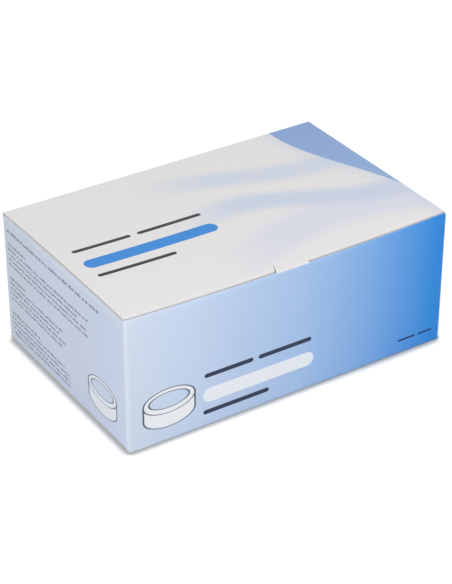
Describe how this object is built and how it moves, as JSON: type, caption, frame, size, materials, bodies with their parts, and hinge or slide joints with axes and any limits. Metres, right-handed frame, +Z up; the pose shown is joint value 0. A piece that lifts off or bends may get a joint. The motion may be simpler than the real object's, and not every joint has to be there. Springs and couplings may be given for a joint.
{
  "type": "boxed cervical collar",
  "caption": "Printed tuck-top folding carton with a lock tab and a crash-lock base, holding a padded semi-rigid cervical collar closed with hook-and-loop tape, and a folded leaflet.",
  "frame": {"origin": "middle of the carton's base, on the surface it stands on", "axes": "+X along the carton's length towards the right end, +Y towards the back panel, +Z up"},
  "size_m": [0.24, 0.156, 0.097],
  "materials": {
    "printed_front": "satin",
    "printed_back": "satin",
    "printed_left_end": "satin",
    "printed_right_end": "satin",
    "printed_lid": "satin",
    "printed_flaps": "satin",
    "plain_board": "matte",
    "moulded_shell": "satin",
    "foam_liner": "matte",
    "padded_rim": "matte",
    "hook_tape": "matte",
    "loop_tape": "matte",
    "leaflet_paper": "matte"
  },
  "bodies": {
    "carton": {"front_panel": "printed_front", "back_panel": "printed_back", "left_end_panel": "printed_left_end", "right_end_panel": "printed_right_end", "glue_flap": "plain_board", "bottom_front_flap": "printed_flaps", "bottom_back_flap": "printed_flaps", "bottom_left_flap": "plain_board", "bottom_right_flap": "plain_board", "collar_shell": "moulded_shell", "collar_liner": "foam_liner", "upper_rim_pad": "padded_rim", "lower_rim_pad": "padded_rim", "hook_strip": "hook_tape", "loop_strip": "loop_tape", "leaflet": "leaflet_paper"},
    "lid": {"lid_panel": "printed_lid"},
    "tuck": {"tuck_flap": "printed_lid"},
    "left_dust": {"left_dust_flap": "printed_flaps"},
    "right_dust": {"right_dust_flap": "printed_flaps"},
    "lock": {"lock_tab": "printed_lid"}
  },
  "joints": [
    {"name": "lid_hinge", "type": "hinge", "parent": "carton", "child": "lid", "pos_m": [0, 0.078, 0.0943], "axis": [-1, 0, 0], "range_deg": [0, 125]},
    {"name": "tuck_fold", "type": "hinge", "parent": "lid", "child": "tuck", "pos_m": [0, -0.0753, 0.09445], "axis": [-1, 0, 0], "range_deg": [0, 90]},
    {"name": "left_dust_fold", "type": "hinge", "parent": "carton", "child": "left_dust", "pos_m": [-0.12, 0, 0.0925], "axis": [0, -1, 0], "range_deg": [0, 60]},
    {"name": "right_dust_fold", "type": "hinge", "parent": "carton", "child": "right_dust", "pos_m": [0.12, 0, 0.0925], "axis": [0, 1, 0], "range_deg": [0, 60]},
    {"name": "lock_tab_fold", "type": "hinge", "parent": "carton", "child": "lock", "pos_m": [0, -0.078, 0.0943], "axis": [1, 0, 0], "range_deg": [0, 100]}
  ],
  "couplings": [
    {"joint": "tuck_fold", "follows": "lid_hinge", "ratio": 0.68},
    {"joint": "left_dust_fold", "follows": "lid_hinge", "ratio": 0.42},
    {"joint": "right_dust_fold", "follows": "lid_hinge", "ratio": 0.42}
  ]
}
